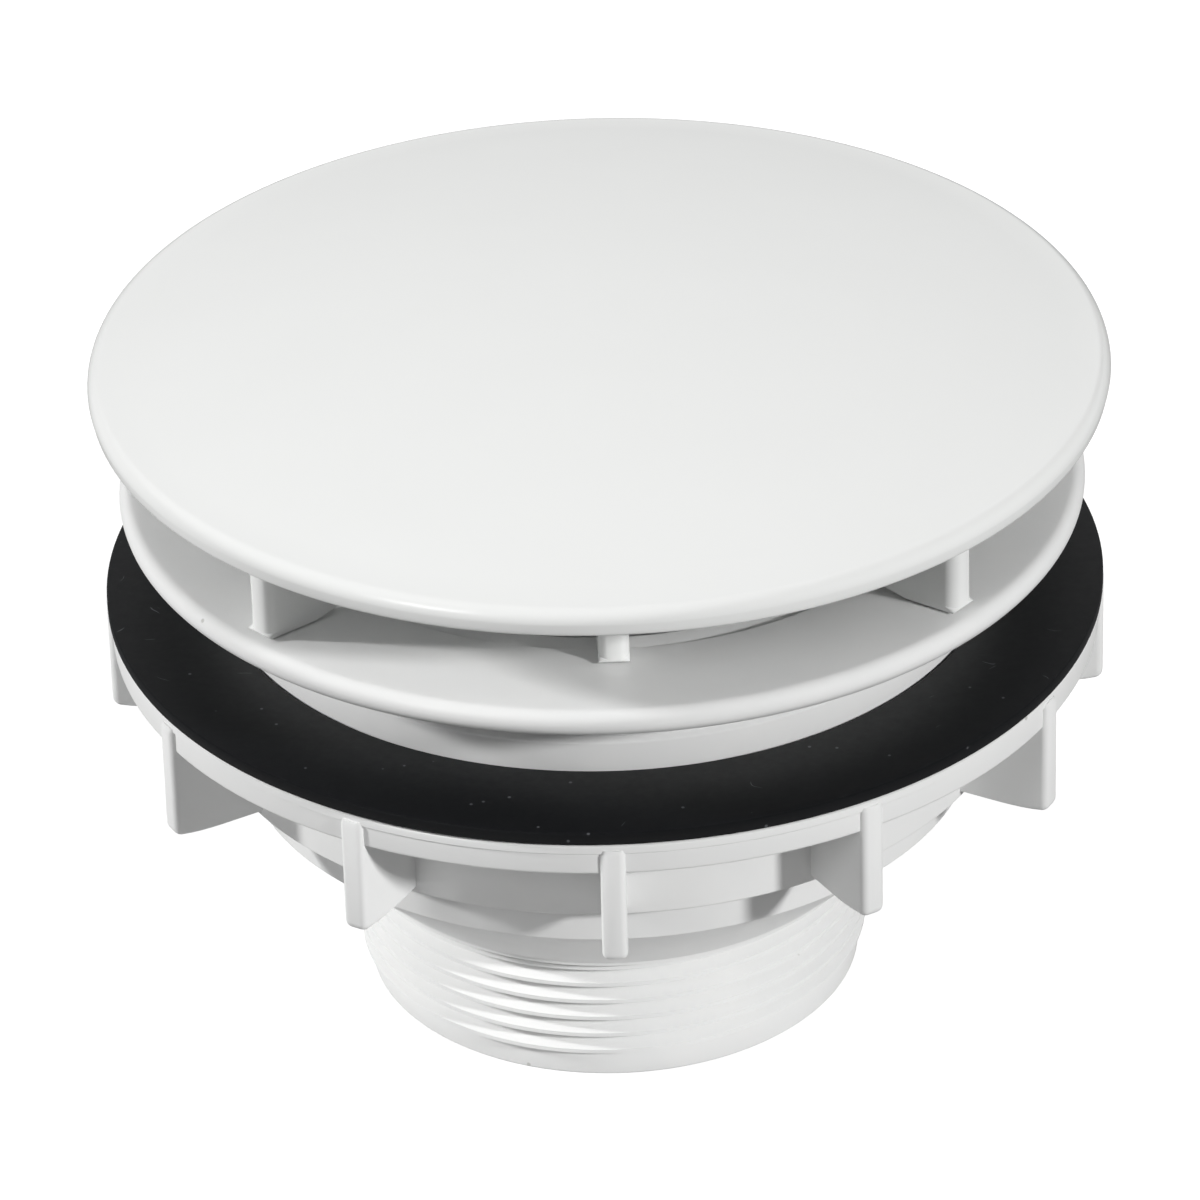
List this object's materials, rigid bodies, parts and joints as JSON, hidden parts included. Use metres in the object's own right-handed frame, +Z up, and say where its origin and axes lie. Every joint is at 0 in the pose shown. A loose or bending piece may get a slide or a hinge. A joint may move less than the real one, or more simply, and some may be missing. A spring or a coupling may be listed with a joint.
{
  "type": "shower waste",
  "caption": "Shower tray waste with a lift-off mushroom cover, a dished flange, a flat gasket, a finned backnut and a threaded tail.",
  "frame": {"origin": "centre of the tail's end face, on the common axis of every piece", "axes": "+Z up along the common axis, from the tail to the cover; -Y towards the side the picture shows, +X to its right"},
  "size_m": [0.116, 0.116, 0.0855],
  "materials": {
    "white_plastic": "satin moulded polypropylene",
    "gloss_cover": "smooth gloss moulding",
    "black_rubber": "matt cut sheet"
  },
  "bodies": {
    "body": {"waste_body": "white_plastic"},
    "cover": {"mushroom_cover": "gloss_cover"},
    "seal": {"gasket": "black_rubber"},
    "nut": {"backnut": "white_plastic"}
  },
  "joints": [
    {"name": "cover_lift", "type": "slide", "parent": "body", "child": "cover", "axis": [0, 0, 1], "range_m": [0, 0.03]},
    {"name": "gasket_travel", "type": "slide", "parent": "body", "child": "seal", "axis": [0, 0, 1], "range_m": [-0.0151, 0]},
    {"name": "backnut_turn", "type": "hinge", "parent": "seal", "child": "nut", "pos_m": [0, 0, 0.0417], "axis": [0, 0, 1], "range_deg": [-1080, 0]}
  ],
  "couplings": [
    {"joint": "gasket_travel", "follows": "backnut_turn", "m_per_rad": 0.00079577}
  ]
}
